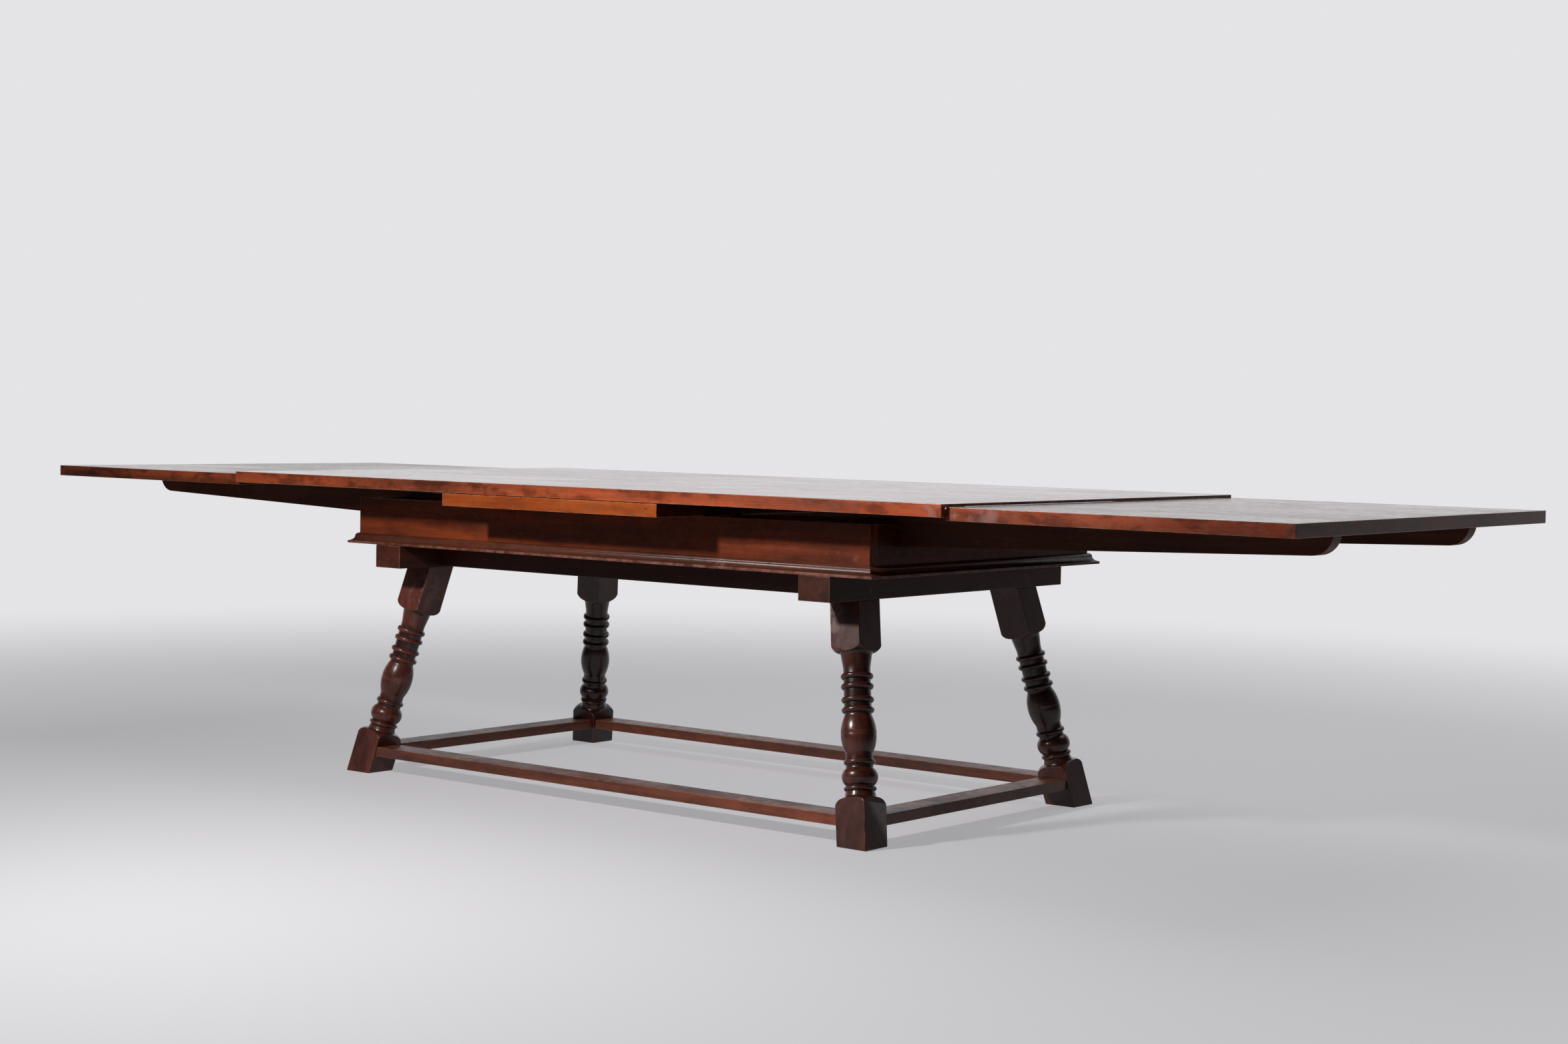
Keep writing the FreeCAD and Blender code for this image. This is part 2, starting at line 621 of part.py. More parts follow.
def make_top(upright_dowels):
    """Fixed centre board, and the loose top with its long bevels, edge strips and locating pegs."""
    inner_width = "(dims.top_width - 2 * dims.edge_strip_width)"
    board_width = f"({inner_width}) / {BOARD_COUNT}"
    peg_low = f"{frieze_top} - dims.top_peg_tail"
    peg_length = f"{board_top} + dims.top_peg_socket - ({peg_low})"
    pegs, holes = [], []
    for face, index in (("front", 1), ("back", BOARD_COUNT - 2)):
        across = board_across(index, inner_width)
        pegs.append(dowel(f"{face}_top_peg", "Z", "0", across, peg_low, "dims.top_peg_diameter", peg_length))
        holes.append(dowel(f"{face}_top_peg_hole", "Z", "0", across, peg_low,
                           "dims.top_peg_diameter + 2 * dims.peg_clearance", peg_length))
    top_pegs = group("top_pegs", pegs)
    panel = box("centre_board_panel", "0", "0", frieze_top, "dims.centre_board_length", "dims.top_width",
                "dims.centre_board_thickness")
    cut("centre_board", panel, group("top_peg_holes", holes), upright_dowels)

    end_low = f"{leaf_top} - dims.leaf_end_gap * {slope} + dims.leaf_top_clearance"
    bevel_start = f"({leaf_inner} - ({leaf_top} + dims.leaf_top_clearance - {board_top}) / {slope})"
    section = [(f"-{top_end}", table_top), (f"-{top_end}", end_low), (f"-{bevel_start}", board_top),
               (bevel_start, board_top), (top_end, end_low), (top_end, table_top)]
    for index in range(BOARD_COUNT):
        name = f"top_board_{index + 1}"
        start = f"{board_across(index, inner_width)} - {board_width} / 2"
        if index in (1, BOARD_COUNT - 2):
            cut(name, padded(name + "_plank", "XZ_Plane", section, start, board_width), top_pegs)
        else:
            padded(name, "XZ_Plane", section, start, board_width)
    for face, across in FACES.items():
        box(face + "_top_strip", "0", f"{across} * (dims.top_width - dims.edge_strip_width) / 2",
            f"{table_top} - dims.edge_strip_depth", "dims.top_length", "dims.edge_strip_width",
            "dims.edge_strip_depth")


def make_leaf(side):
    """One leaf: its boards, end lipping, two tapered runners, their dowels and stop pegs."""
    along = SIDES[side]
    board_length = "(dims.leaf_length - dims.lipping_width)"
    board_width = f"{leaf_width} / {BOARD_COUNT}"
    dowels, stops = [], []
    nose_end = f"({runner_outer} - dims.runner_nose_run)"
    section = [(runner_outer, leaf_under, "dims.runner_nose_radius", -along),
               (nose_end, runner_seat(nose_end)), (tail_tip, runner_seat(tail_tip)),
               (tail_tip, tail_crest(tail_tip)),
               (leaf_inner, tail_crest(leaf_inner)), (leaf_inner, leaf_under)]
    section = [(f"{along} * {point[0]}",) + point[1:] for point in section]
    spacing = f"({nose_end} - {leaf_inner}) / {RUNNER_DOWEL_COUNT}"
    planks = {}
    for face, across in FACES.items():
        centre = f"{across} * {runner_across(side)}"
        planks[face] = padded(f"{side}_{face}_runner_plank", "XZ_Plane", section,
                              f"{centre} - dims.runner_thickness / 2", "dims.runner_thickness")
        for count in range(RUNNER_DOWEL_COUNT):
            dowels.append(dowel(f"{side}_{face}_runner_dowel_{count + 1}", "Z",
                                f"{along} * ({leaf_inner} + {spacing} * ({count} + 0.5))", centre,
                                f"{leaf_under} - dims.runner_dowel_length / 2", "dims.runner_dowel_diameter",
                                "dims.runner_dowel_length"))
        direction = stop_direction(side, across)
        low = f"{centre} - dims.runner_thickness / 2" + ("" if direction > 0 else " - dims.stop_peg_reach")
        stops.append(dowel(f"{side}_{face}_stop_peg", "Y", f"{along} * {stop_at}", low,
                           stop_level, "dims.stop_peg_diameter",
                           "dims.runner_thickness + dims.stop_peg_reach"))
    runner_dowels = group(side + "_runner_dowels", dowels)
    stop_pegs = group(side + "_stop_pegs", stops)
    for face in FACES:
        cut(f"{side}_{face}_runner", planks[face], runner_dowels, stop_pegs)
    for index in range(BOARD_COUNT):
        name = f"{side}_leaf_board_{index + 1}"
        plank = box(name + "_plank", f"{along} * ({leaf_inner} + {board_length} / 2)",
                    board_across(index, leaf_width), leaf_under, board_length, board_width,
                    "dims.leaf_thickness")
        cut(name, plank, runner_dowels)
    box(side + "_leaf_lipping", f"{along} * ({leaf_outer} - dims.lipping_width / 2)", "0", leaf_under,
        "dims.lipping_width", leaf_width, "dims.leaf_thickness")


legs, stocks = make_legs()
stretchers, stretcher_tenons, stretcher_pegs = make_stretchers(stocks)
for stretcher, joined in stretchers.items():
    cut(stretcher, joined, stretcher_pegs)
leg_pegs = make_leg_pegs()
for (face, side), leg in legs.items():
    mortised = cut(f"{face}_{side}_mortised", leg, *[
        stretcher_tenons[key] for key in (face + "_stretcher", side + "_stretcher")])
    cut(f"{face}_{side}_leg", mortised, stretcher_pegs, leg_pegs)
upright_dowels = make_upright_dowels()
make_bearers_and_rails(legs, leg_pegs, upright_dowels)
frieze_dowels = make_frieze_dowels()
slots, grooves = make_channels()
make_frieze(slots, grooves, frieze_dowels, upright_dowels)
make_mouldings()
make_top(upright_dowels)
for side in SIDES:
    make_leaf(side)
doc.recompute()

PARTS = [f"{face}_{side}_leg" for face in FACES for side in SIDES]
PARTS += [*stretchers, "stretcher_pegs", "leg_pegs", "bearer_dowels", "board_dowels", "frieze_dowels"]
PARTS += [f"{side}_bearer" for side in SIDES] + [f"{face}_rail" for face in FACES]
PARTS += [f"{edge}_{kind}" for kind in ("frieze", "moulding") for edge in (*FACES, *SIDES)]
PARTS += [f"{side}_inner_rail" for side in SIDES] + ["corner_blocks", "centre_board", "top_pegs"]
PARTS += [f"top_board_{index + 1}" for index in range(BOARD_COUNT)]
PARTS += [f"{face}_top_strip" for face in FACES]
for side in SIDES:
    PARTS += [f"{side}_leaf_board_{index + 1}" for index in range(BOARD_COUNT)]
    PARTS += [f"{side}_{face}_runner" for face in FACES]
    PARTS += [f"{side}_leaf_lipping", f"{side}_runner_dowels", f"{side}_stop_pegs"]

failed = [obj.Name for obj in doc.Objects if "Invalid" in obj.State or "Error" in obj.State]
if failed:
    raise RuntimeError("objects that did not compute: " + ", ".join(failed))
os.makedirs("parts", exist_ok=True)
for name in PARTS:
    part = doc.getObject(name)
    part.Label = name
    if part.Shape.isNull() or not part.Shape.isValid() or not part.Shape.Solids:
        raise RuntimeError("bad shape: " + name)
for name in PARTS:
    doc.getObject(name).Shape.exportStep("parts/%s.step" % name)
print(len(PARTS), "parts, table height", value(table_top), "length", 2 * value(leaf_outer))
print("leaf travel", value(leaf_travel), "rise", value(leaf_rise), "slope", value(slope))
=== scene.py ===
# %% [markdown]
# # A draw-leaf table, dressed in Blender
# The table stands with both leaves drawn out. Its carpentry is already modelled at its real size, and
# this script gives every piece its finish: eased and worn arrises, wax, grain, the marks of long use
# and some painted light and shade.
# Nothing is moved. Each piece is looked up by name, and rides on the body that carries it.

# %% Load the imported table
import json
import math

import bmesh
import bpy
from mathutils import Matrix, Vector


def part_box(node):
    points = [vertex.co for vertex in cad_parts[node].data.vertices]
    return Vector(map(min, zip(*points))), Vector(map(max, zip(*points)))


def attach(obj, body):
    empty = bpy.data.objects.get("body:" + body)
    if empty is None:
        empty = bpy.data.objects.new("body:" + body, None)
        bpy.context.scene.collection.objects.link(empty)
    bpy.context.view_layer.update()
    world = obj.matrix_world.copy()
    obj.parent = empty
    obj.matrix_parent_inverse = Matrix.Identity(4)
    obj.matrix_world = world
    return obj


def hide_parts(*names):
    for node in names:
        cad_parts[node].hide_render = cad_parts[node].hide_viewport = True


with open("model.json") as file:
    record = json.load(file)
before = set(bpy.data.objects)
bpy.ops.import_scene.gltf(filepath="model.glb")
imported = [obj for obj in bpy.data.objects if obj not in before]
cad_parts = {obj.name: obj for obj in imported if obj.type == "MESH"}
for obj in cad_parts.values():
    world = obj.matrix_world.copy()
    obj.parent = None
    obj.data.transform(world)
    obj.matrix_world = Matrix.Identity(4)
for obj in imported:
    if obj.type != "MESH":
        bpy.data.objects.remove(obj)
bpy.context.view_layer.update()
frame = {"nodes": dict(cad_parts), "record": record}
MM = 0.001

# %% [markdown]
# ## Camera
# The photograph was taken from a little above the top, off the front right corner, with a normal lens.
# The place, turn and focal length below reproduce its view of the four feet and the corners of the top. A
# camera could be aimed with a constraint, but a plain matrix from three angles shows what each angle
# does.

# %% Make the camera
CAMERA_PLACE = Vector((4.0984, -4.7783, 0.9617))
CAMERA_YAW, CAMERA_PITCH, CAMERA_ROLL = (math.radians(angle) for angle in (39.01, -2.62, 1.01))
FOCAL_LENGTH_MM, SENSOR_WIDTH_MM = 57.43, 36.0


def make_camera():
    lens = bpy.data.cameras.new("photo_view")
    lens.lens, lens.sensor_width, lens.sensor_fit = FOCAL_LENGTH_MM, SENSOR_WIDTH_MM, "HORIZONTAL"
    camera = bpy.data.objects.new("photo_view", lens)
    bpy.context.scene.collection.objects.link(camera)
    turn = Matrix.Rotation(CAMERA_YAW, 4, "Z") @ Matrix.Rotation(math.pi / 2 + CAMERA_PITCH, 4, "X")
    camera.matrix_world = Matrix.Translation(CAMERA_PLACE) @ turn @ Matrix.Rotation(CAMERA_ROLL, 4, "Z")
    bpy.context.scene.camera = camera
    return camera


print("camera at", list(make_camera().location))

# %% [markdown]
# ## Shader helpers
# Node trees are easier to read as calls that name a node, its settings and what goes into each socket. A
# value that is another node's output becomes a link, and anything else is set on the socket.

# %% Helpers that write node trees


def fill_socket(tree, socket, value):
    if isinstance(value, bpy.types.NodeSocket):
        tree.links.new(value, socket)
    else:
        socket.default_value = value


def node(tree, kind, settings=None, **inputs):
    made = tree.nodes.new("ShaderNode" + kind)
    for key, value in (settings or {}).items():
        setattr(made, key, value)
    for name, value in inputs.items():
        fill_socket(tree, made.inputs[name.replace("_", " ")], value)
    return made


def maths(tree, operation, first, second=0.0):
    made = node(tree, "Math", {"operation": operation})
    fill_socket(tree, made.inputs[0], first)
    fill_socket(tree, made.inputs[1], second)
    return made.outputs[0]


def vector_maths(tree, operation, first, second):
    made = node(tree, "VectorMath", {"operation": operation})
    fill_socket(tree, made.inputs[0], first)
    fill_socket(tree, made.inputs[1], second)
    return made.outputs


def scaled(tree, vector, factors):
    return vector_maths(tree, "MULTIPLY", vector, factors)["Vector"]


def mixed(tree, factor, first, second, blend="MIX"):
    made = node(tree, "Mix", {"data_type": "RGBA", "blend_type": blend})
    fill_socket(tree, made.inputs[0], factor)
    fill_socket(tree, made.inputs[6], first)
    fill_socket(tree, made.inputs[7], second)
    return made.outputs[2]


def between(tree, factor, first, second):
    """A number that goes from first to second with the factor."""
    made = node(tree, "Mix", {"data_type": "FLOAT"})
    for socket, value in zip((made.inputs[0], made.inputs[2], made.inputs[3]), (factor, first, second)):
        fill_socket(tree, socket, value)
    return made.outputs[0]


def spread(tree, value, low, high, to_low=0.0, to_high=1.0):
    made = node(tree, "MapRange", {"interpolation_type": "SMOOTHSTEP"}, Value=value)
    for name, number in (("From Min", low), ("From Max", high), ("To Min", to_low), ("To Max", to_high)):
        fill_socket(tree, made.inputs[name], number)
    return made.outputs[0]


def noise(tree, vector, width, detail=2.0, roughness=0.5):
    """Noise whose spots are about width metres across."""
    return node(tree, "TexNoise", Vector=vector, Scale=1 / width, Detail=detail, Roughness=roughness).outputs


def new_group(name, inputs, outputs):
    """An empty shader group; inputs and outputs are (name, kind) pairs."""
    tree = bpy.data.node_groups.new(name, "ShaderNodeTree")
    for title, kind in inputs:
        tree.interface.new_socket(title, in_out="INPUT", socket_type="NodeSocket" + kind)
    for title, kind in outputs:
        tree.interface.new_socket(title, in_out="OUTPUT", socket_type="NodeSocket" + kind)
    return tree, tree.nodes.new("NodeGroupInput").outputs, tree.nodes.new("NodeGroupOutput").inputs


# %% [markdown]
# ## Light
# One small lamp stands in front of the long side, at about head height. Its light skims under the top, so
# the overhang shades the frieze, and only two low patches beside the centre board are lit. A sun lamp
# could light the front too, but its even rays would not leave these patches. A broad weak lamp fills the
# front, and a wide one under the ceiling lights the top and the floor. The surround is a pale wall behind
# the table: bright in reflections, so that waxed wood shows a pale sheen, and much weaker as a light, so
# that shaded wood stays dark.

# %% Make the lamps and the surround
KEY_PLACE, KEY_TARGET = Vector((-0.24, -2.58, 1.79)), Vector((2.60, 0.30, 0.75))
KEY_SIZE, KEY_POWER = 0.22, 86.0
FILL_PLACE, FILL_TARGET = Vector((-2.4, -4.6, 3.4)), Vector((0.0, 0.0, 0.5))
FILL_SIZE, FILL_POWER = 2.6, 10.0
CEILING_PLACE, CEILING_TARGET = Vector((0.4, 1.8, 4.4)), Vector((0.2, 0.4, 0.0))
CEILING_SIZE, CEILING_POWER = 4.5, 110.0
SURROUND_COLOUR = (0.78, 0.77, 0.79, 1.0)
WALL_SIDE, WALL_EDGES = (-0.63, 0.78, 0.0), (0.25, 0.85)
WALL_TOP, CEILING_GLOW = (0.30, 0.65), 0.35
DIM_GLOW, WALL_LIGHT = 0.08, 0.30


def make_lamp(name, place, target, size, power):
    data = bpy.data.lights.new(name, "AREA")
    data.size, data.energy = size, power
    lamp = bpy.data.objects.new(name, data)
    lamp.location = place
    lamp.rotation_euler = (target - place).to_track_quat("-Z", "Y").to_euler()
    bpy.context.scene.collection.objects.link(lamp)
    return lamp


def make_surround():
    world = bpy.data.worlds.new("surround")
    bpy.context.scene.world = world
    world.use_nodes = True
    tree = world.node_tree
    way = tree.nodes.new("ShaderNodeTexCoord").outputs["Generated"]
    towards = vector_maths(tree, "DOT_PRODUCT", way, WALL_SIDE)["Value"]
    wall = spread(tree, towards, *WALL_EDGES, DIM_GLOW, 1.0)
    height = node(tree, "SeparateXYZ", Vector=way).outputs["Z"]
    wall = maths(tree, "MULTIPLY", wall, spread(tree, height, *WALL_TOP, 1.0, CEILING_GLOW))
    path = tree.nodes.new("ShaderNodeLightPath").outputs
    strength = between(tree, path["Is Glossy Ray"], maths(tree, "MULTIPLY", wall, WALL_LIGHT), wall)
    straight = maths(tree, "MAXIMUM", path["Is Camera Ray"], path["Is Transmission Ray"])
    strength = between(tree, straight, strength, 1.0)
    background = tree.nodes["Background"]
    fill_socket(tree, background.inputs["Color"], SURROUND_COLOUR)
    fill_socket(tree, background.inputs["Strength"], strength)


bpy.context.scene.view_settings.view_transform = "Standard"
make_lamp("key_lamp", KEY_PLACE, KEY_TARGET, KEY_SIZE, KEY_POWER)
make_lamp("fill_lamp", FILL_PLACE, FILL_TARGET, FILL_SIZE, FILL_POWER)
make_lamp("ceiling_lamp", CEILING_PLACE, CEILING_TARGET, CEILING_SIZE, CEILING_POWER)
make_surround()
print("lamps at", list(KEY_PLACE), list(FILL_PLACE), list(CEILING_PLACE))

# %% [markdown]
# ## Floor
# The floor is a pale matt disc that fades into the surround at its rim, so that no horizon cuts the
# picture. A plain large plane would end in a hard line. The floor is lifted a little for the camera and
# for reflections alone, which keeps it pale without lighting the underside of the table. From below it is
# clear, so that the underside can be looked at.

# %% Make the floor
FLOOR_RADIUS, FLOOR_CLEAR_RADIUS, FLOOR_DROP, FLOOR_SIDES = 6.0, 2.1, 0.4 * MM, 96
FLOOR_COLOUR, FLOOR_LIFT = (0.28, 0.275, 0.285, 1.0), 0.46
FLOOR_ROUGHNESS, FLOOR_SPECULAR = 0.8, 0.1


def make_floor():
    mesh = bpy.data.meshes.new("floor")
    disc = bmesh.new()
    bmesh.ops.create_circle(disc, cap_ends=True, segments=FLOOR_SIDES, radius=FLOOR_RADIUS)
    bmesh.ops.translate(disc, verts=disc.verts, vec=(0, 0, -FLOOR_DROP))
    disc.to_mesh(mesh)
    disc.free()
    floor = bpy.data.objects.new("floor", mesh)
    bpy.context.scene.collection.objects.link(floor)
    material = bpy.data.materials.new("pale_floor")
    material.use_nodes = True
    tree = material.node_tree
    paint = tree.nodes["Principled BSDF"].inputs
    paint["Base Color"].default_value = FLOOR_COLOUR
    paint["Roughness"].default_value = FLOOR_ROUGHNESS
    paint["Specular IOR Level"].default_value = FLOOR_SPECULAR
    paint["Emission Color"].default_value = SURROUND_COLOUR
    place = tree.nodes.new("ShaderNodeTexCoord").outputs["Object"]
    reach = vector_maths(tree, "LENGTH", place, (0, 0, 0))["Value"]
    fade = spread(tree, reach, FLOOR_CLEAR_RADIUS, FLOOR_RADIUS, 1.0, 0.0)
    below = tree.nodes.new("ShaderNodeNewGeometry").outputs["Backfacing"]
    fill_socket(tree, paint["Alpha"], between(tree, below, fade, 0.0))
    path = tree.nodes.new("ShaderNodeLightPath").outputs
    seen = maths(tree, "MAXIMUM", path["Is Camera Ray"], path["Is Glossy Ray"])
    seen = maths(tree, "MAXIMUM", seen, path["Is Transmission Ray"])
    fill_socket(tree, paint["Emission Strength"], maths(tree, "MULTIPLY", seen, FLOOR_LIFT))
    mesh.materials.append(material)


make_floor()
print("floor of radius", FLOOR_RADIUS, "m")

# %% [markdown]
# ## Grain
# A plank is cut from a tree that grew in rings. The rings are cylinders round the pith, a little bent,
# and a flat cut through them gives the arched figure. An image of wood would show seams and repeat, so
# the group works the rings out in space: wherever a plank is cut, the figure runs round its edges as in
# real timber. Streaks follow the fibres, and pores are short dark dashes that crowd along the dense part
# of each ring.

# %% The grain group
RING_SPACING, RING_BEND = 5.2 * MM, 0.085
RING_NOISE = {"Distortion": 3.2, "Detail": 3.0, "Detail_Scale": 1.6}
WAVE_UNIT = math.pi / 10  # at a scale of 1, the wave texture's rings are this far apart
FIBRE_DRAW, PORE_DRAW, SWAY_DRAW = (0.05, 1.0, 1.0), (0.035, 1.0, 1.0), (0.28, 1.0, 1.0)
# each noise has the width of its spots, its detail and how rough that detail is
FIBRES, BANDS, DASHES = (9 * MM, 4.0, 0.62), (52 * MM, 3.0, 0.55), (0.9 * MM, 1.0, 0.4)
SWAY, CLEARNESS = (0.34, 2.5), (0.13, 2.0)
# each range says where a mask starts and is full, and some the two values that it then goes between
CLEAR_RANGE, BAND_RANGE = (0.36, 0.64, 0.25, 1.0), (0.30, 0.70, 0.18, 1.0)
DENSE_RANGE, PORE_RANGE, STREAK_RANGE = (0.35, 0.95), (0.56, 0.68), (0.32, 0.68)
RING_SHARE, PORES_BETWEEN_RINGS, FIBRE_HEIGHT = 0.20, 0.35, 0.8


def make_grain_group():
    tree, given, result = new_group(
        "plank_grain", [("Vector", "Vector")],
        [(name, "Float") for name in ("Figure", "Streak", "Pores", "Height")])
    vector = given["Vector"]
    slow = scaled(tree, vector, SWAY_DRAW)
    sway = scaled(tree, noise(tree, slow, *SWAY)["Color"], (0.0, RING_BEND, RING_BEND))
    bent = vector_maths(tree, "ADD", vector, sway)["Vector"]
    rings = node(tree, "TexWave", {"wave_type": "RINGS", "rings_direction": "X", "wave_profile": "SIN"},
                 Vector=bent, Scale=WAVE_UNIT / RING_SPACING, **RING_NOISE).outputs["Fac"]
    drawn = scaled(tree, vector, FIBRE_DRAW)
    fibres = noise(tree, drawn, *FIBRES)["Fac"]
    bands = spread(tree, noise(tree, drawn, *BANDS)["Fac"], *BAND_RANGE)
    dashes = noise(tree, scaled(tree, vector, PORE_DRAW), *DASHES)["Fac"]
    clear = spread(tree, noise(tree, slow, *CLEARNESS)["Fac"], *CLEAR_RANGE)
    dense = maths(tree, "MULTIPLY", spread(tree, rings, *DENSE_RANGE), clear)
    figure = maths(tree, "SUBTRACT", bands, maths(tree, "MULTIPLY", dense, RING_SHARE))
    crowd = maths(tree, "ADD", dense, PORES_BETWEEN_RINGS)
    pores = maths(tree, "MULTIPLY", spread(tree, dashes, *PORE_RANGE), crowd)
    outputs = {
        "Figure": maths(tree, "MAXIMUM", figure, 0.0),
        "Streak": spread(tree, fibres, *STREAK_RANGE),
        "Pores": pores,
        "Height": maths(tree, "SUBTRACT", maths(tree, "MULTIPLY", fibres, FIBRE_HEIGHT), pores),
    }
    for name, value in outputs.items():
        fill_socket(tree, result[name], value)
    return tree


grain_group = make_grain_group()
print("grain group:", len(grain_group.nodes), "nodes")

# %% [markdown]
# ## Use, and painted shade and sheen
# Centuries of hands, cloths and knocks leave their marks: broad stains where the wax is thicker,
# blotches, small dark dents, dirt in the hollows and pale rubbed places. The hollows are darkened as
# painted shade too. They could be painted on each piece by hand, but masks made of noise do it for all
# pieces alike. Each dressed piece carries attributes that say where it is rubbed (`arris`) and where dirt
# and painted shade go (`hollow`), and a few pieces have a scuff of their own; on the front right leg this
# is a painted sheen.

# %% The group of use and painted light
# noises and ranges are written as for the grain
STAINS, FINE_MARKS, BLOTCHES = (300 * MM, 4.0, 0.6), (24 * MM, 3.0, 0.62), (42 * MM, 3.0, 0.65)
PATCH_WIDTH, DENT_SPACING = 140 * MM, 38 * MM
BLOTCH_DRAW, DENT_DRAW = (0.40, 1.0, 1.0), (0.55, 1.0, 1.0)
STAIN_RANGE, BLOTCH_RANGE = (0.42, 0.68), (0.45, 0.64)
DENT_RANGE, PATCH_RANGE = (0.03, 0.09, 1.0, 0.0), (0.50, 0.62)
FLECK_RANGE, FLECK_AREA, FLECK_SHARE = (0.62, 0.72), (0.54, 0.66), 0.35
RUB_RANGE, SCUFF_AND_SHEEN_RANGE, DIRT_AND_SHADE_RANGE = (0.34, 0.62), (0.44, 0.58), (0.20, 0.50, 0.6, 1.0)
SHEEN_BALANCE = 0.5  # how far the fine marks count beside the broad stains


def make_use_and_light_group():
    tree, given, result = new_group(
        "long_use_and_painted_light", [("Vector", "Vector"), ("Arris", "Float"), ("Hollow", "Float"), ("Scuff", "Float")],
        [(name, "Float") for name in ("Stain", "Blotch", "Dents", "Rubbed", "Scuffed", "DirtAndShade", "Sheen")])

    def broken_up(mask, marks, limits):
        return maths(tree, "MULTIPLY", mask, spread(tree, marks, *limits))

    vector = given["Vector"]
    broad = noise(tree, vector, *STAINS)["Fac"]
    fine = noise(tree, vector, *FINE_MARKS)["Fac"]
    blotches = noise(tree, scaled(tree, vector, BLOTCH_DRAW), *BLOTCHES)["Fac"]
    patches = noise(tree, vector, PATCH_WIDTH)["Fac"]
    cells = node(tree, "TexVoronoi", Vector=scaled(tree, vector, DENT_DRAW), Scale=1 / DENT_SPACING).outputs
    flecks = broken_up(spread(tree, fine, *FLECK_RANGE), broad, FLECK_AREA)
    rubbed = broken_up(given["Arris"], fine, RUB_RANGE)
    outputs = {
        "Stain": spread(tree, broad, *STAIN_RANGE),
        "Blotch": spread(tree, blotches, *BLOTCH_RANGE),
        "Dents": broken_up(spread(tree, cells["Distance"], *DENT_RANGE), patches, PATCH_RANGE),
        "Rubbed": maths(tree, "MAXIMUM", rubbed, maths(tree, "MULTIPLY", flecks, FLECK_SHARE)),
        "Scuffed": broken_up(given["Scuff"], fine, SCUFF_AND_SHEEN_RANGE),
        "DirtAndShade": broken_up(given["Hollow"], fine, DIRT_AND_SHADE_RANGE),
        "Sheen": between(tree, SHEEN_BALANCE, broad, fine),
    }
    for name, value in outputs.items():
        fill_socket(tree, result[name], value)
    return tree


use_and_light_group = make_use_and_light_group()
print("use group:", len(use_and_light_group.nodes), "nodes")

# %% [markdown]
# ## Waxed wood
# Each piece gets its own wood from one recipe, because no two planks match. A Mapping node turns the
# grain along the piece and sets the pith somewhere below it, so neighbouring planks show different cuts.
# One material for all would be shorter, but the joints between boards would then hardly show. Colours are
# written as light and dark wood, a rubbed tone for worn edges, and a side tone for the upright faces.
# Gloss is a pair of roughness values, from well waxed to dull; turned and moulded faces may have a pair
# of their own. End grain drinks more stain and turns darker, and the centre board's end faces are darkened
# further, as painted shade. Undersides were never waxed and stay dull, and a coat stands for the polish of
# the top.

# %% The tones of the wood
TONES = {
    "top": {"light": (0.250, 0.092, 0.040), "dark": (0.082, 0.028, 0.014), "rubbed": (0.36, 0.15, 0.075),
            "side": (0.44, 0.092, 0.028), "gloss": (0.10, 0.20), "side_gloss": (0.20, 0.30), "relief": 0.10,
            "blotch": 0.70, "coat": 0.35},
    "leaf": {"light": (0.225, 0.086, 0.040), "dark": (0.078, 0.028, 0.015), "rubbed": (0.36, 0.15, 0.075),
             "side": (0.44, 0.092, 0.028), "gloss": (0.12, 0.24), "side_gloss": (0.20, 0.30), "relief": 0.10,
             "blotch": 0.80, "coat": 0.05},
    # the centre board's end faces darken in full: end grain, and beyond it painted shade
    "centre": {"light": (0.38, 0.095, 0.020), "dark": (0.20, 0.045, 0.011), "rubbed": (0.52, 0.19, 0.065),
               "side": (0.40, 0.086, 0.014), "gloss": (0.22, 0.34), "relief": 0.2, "blotch": 0.25,
               "specular": 0.35, "end_grain_and_shade": 1.0},
    "frieze": {"light": (0.34, 0.074, 0.024), "dark": (0.105, 0.025, 0.010), "rubbed": (0.40, 0.15, 0.075),
               "side": (0.35, 0.068, 0.018), "gloss": (0.22, 0.34), "relief": 0.12, "blotch": 0.35,
               "specular": 0.25},
    "moulding": {"light": (0.150, 0.043, 0.021), "dark": (0.054, 0.016, 0.010),
                 "rubbed": (0.27, 0.115, 0.082), "side": (0.150, 0.041, 0.019), "gloss": (0.26, 0.38),
                 "shaped_gloss": (0.30, 0.42), "relief": 0.2, "blotch": 0.25, "specular": 0.4},
    "leg": {"light": (0.140, 0.037, 0.024), "dark": (0.052, 0.015, 0.011), "rubbed": (0.25, 0.082, 0.050),
            "side": (0.130, 0.034, 0.022), "gloss": (0.34, 0.46), "shaped_gloss": (0.20, 0.32),
            "relief": 0.3, "blotch": 0.5, "specular": 0.40},
    "stretcher": {"light": (0.27, 0.085, 0.042), "dark": (0.090, 0.028, 0.016), "rubbed": (0.40, 0.17, 0.10),
                  "side": (0.29, 0.075, 0.032), "gloss": (0.34, 0.50), "relief": 0.25, "blotch": 0.4,
                  "specular": 0.4},
    "bearer": {"light": (0.095, 0.027, 0.016), "dark": (0.036, 0.011, 0.007), "rubbed": (0.22, 0.09, 0.062),
               "side": (0.090, 0.025, 0.015), "gloss": (0.30, 0.42), "relief": 0.3, "blotch": 0.25,
               "specular": 0.2, "end_grain_and_shade": 0.0},
    "runner": {"light": (0.180, 0.064, 0.031), "dark": (0.064, 0.022, 0.012), "rubbed": (0.27, 0.125, 0.072),
               "side": (0.168, 0.056, 0.027), "gloss": (0.40, 0.55), "relief": 0.3, "blotch": 0.25,
               "specular": 0.15},
    "peg": {"light": (0.17, 0.075, 0.039), "dark": (0.065, 0.026, 0.015), "rubbed": (0.28, 0.15, 0.09),
            "side": (0.14, 0.060, 0.031), "gloss": (0.40, 0.55), "relief": 0.3, "blotch": 0.25,
            "specular": 0.3},
}
PLAIN_SPECULAR, PLAIN_END_GRAIN, UNDERSIDE_ROUGHNESS = 0.5, 0.3, 0.7
print("tones:", ", ".join(TONES))

